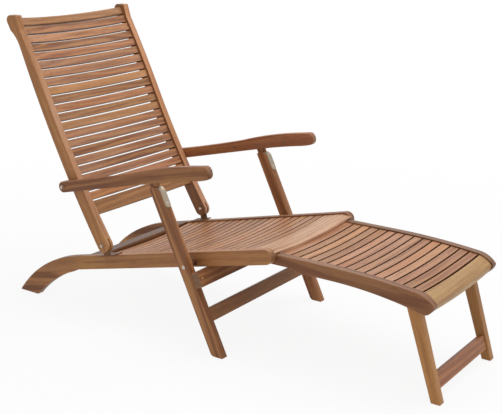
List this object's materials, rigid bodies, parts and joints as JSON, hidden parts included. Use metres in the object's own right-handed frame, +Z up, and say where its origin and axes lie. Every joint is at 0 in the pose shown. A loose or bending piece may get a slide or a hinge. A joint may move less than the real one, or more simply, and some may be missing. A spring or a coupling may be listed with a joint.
{
  "type": "steamer deck chair",
  "caption": "Folding wooden deck chair with a slatted bowed back, dished slatted seat, arched arms, crossed legs and a hinged footrest on its own folding legs.",
  "frame": {"origin": "on the ground, below the middle of the chair's length and width", "axes": "+X from the head end towards the feet, +Y to the sitter's left, +Z up"},
  "size_m": [1.5361, 0.6, 0.934],
  "materials": {
    "frame_wood": "oiled",
    "slat_wood": "oiled",
    "steel": "satin"
  },
  "bodies": {
    "seat_frame": {"back_hinge_bolts": "steel", "back_hinge_bracket_left": "steel", "back_hinge_bracket_right": "steel", "back_hinge_bracket_screws": "steel", "back_hinge_cap_nuts": "steel", "back_hinge_washers": "steel", "footrest_hinge_bolts": "steel", "footrest_hinge_washers": "steel", "leg_pivot_bolts": "steel", "leg_pivot_cap_nuts": "steel", "leg_pivot_spacers": "steel", "leg_pivot_washers": "steel", "rear_cross_rail": "frame_wood", "rear_foot_block_left": "frame_wood", "rear_foot_block_right": "frame_wood", "seat_nose_rail": "frame_wood", "seat_rail_left": "frame_wood", "seat_rail_right": "frame_wood", "seat_slats": "slat_wood"},
    "back": {"arm_hinge_plate_left": "steel", "arm_hinge_plate_right": "steel", "arm_hinge_plate_screws": "steel", "arm_pivot_cap_nuts": "steel", "arm_pivot_studs": "steel", "arm_pivot_washers": "steel", "back_bottom_rail": "frame_wood", "back_slats": "slat_wood", "back_stile_left": "frame_wood", "back_stile_right": "frame_wood", "back_top_rail": "frame_wood"},
    "armrest_left": {"armrest_left": "frame_wood", "armrest_pins_left": "steel"},
    "armrest_right": {"armrest_pins_right": "steel", "armrest_right": "frame_wood"},
    "front_legs": {"front_leg_left": "frame_wood", "front_leg_right": "frame_wood", "front_stretcher": "frame_wood", "leg_strap_left": "steel", "leg_strap_right": "steel", "leg_strap_screws": "steel", "stop_bar": "frame_wood", "stop_bar_screws": "steel"},
    "footrest": {"footrest_leg_bolts": "steel", "footrest_leg_washers": "steel", "footrest_nose_rail": "frame_wood", "footrest_rail_left": "frame_wood", "footrest_rail_right": "frame_wood", "footrest_slats": "slat_wood"},
    "footrest_legs": {"footrest_leg_left": "frame_wood", "footrest_leg_right": "frame_wood", "footrest_leg_stretcher": "frame_wood"}
  },
  "joints": [
    {"name": "back_fold", "type": "hinge", "parent": "seat_frame", "child": "back", "pos_m": [-0.358, 0, 0.245], "axis": [0, 1, 0], "range_deg": [0, 103]},
    {"name": "armrest_left_fold", "type": "hinge", "parent": "back", "child": "armrest_left", "pos_m": [-0.493, 0.2775, 0.419], "axis": [0, 1, 0], "range_deg": [-108, 0]},
    {"name": "armrest_right_fold", "type": "hinge", "parent": "back", "child": "armrest_right", "pos_m": [-0.493, -0.2775, 0.419], "axis": [0, 1, 0], "range_deg": [-108, 0]},
    {"name": "front_legs_fold", "type": "hinge", "parent": "seat_frame", "child": "front_legs", "pos_m": [-0.014, 0, 0.254], "axis": [0, 1, 0], "range_deg": [0, 80]},
    {"name": "footrest_fold", "type": "hinge", "parent": "seat_frame", "child": "footrest", "pos_m": [0.24, 0, 0.312], "axis": [0, 1, 0], "range_deg": [0, 105]},
    {"name": "footrest_legs_fold", "type": "hinge", "parent": "footrest", "child": "footrest_legs", "pos_m": [0.666, 0, 0.278], "axis": [0, 1, 0], "range_deg": [0, 108]}
  ],
  "couplings": [
    {"joint": "armrest_left_fold", "follows": "back_fold", "ratio": -1.04},
    {"joint": "armrest_right_fold", "follows": "back_fold", "ratio": -1.04},
    {"joint": "front_legs_fold", "follows": "back_fold", "ratio": 0.775}
  ]
}
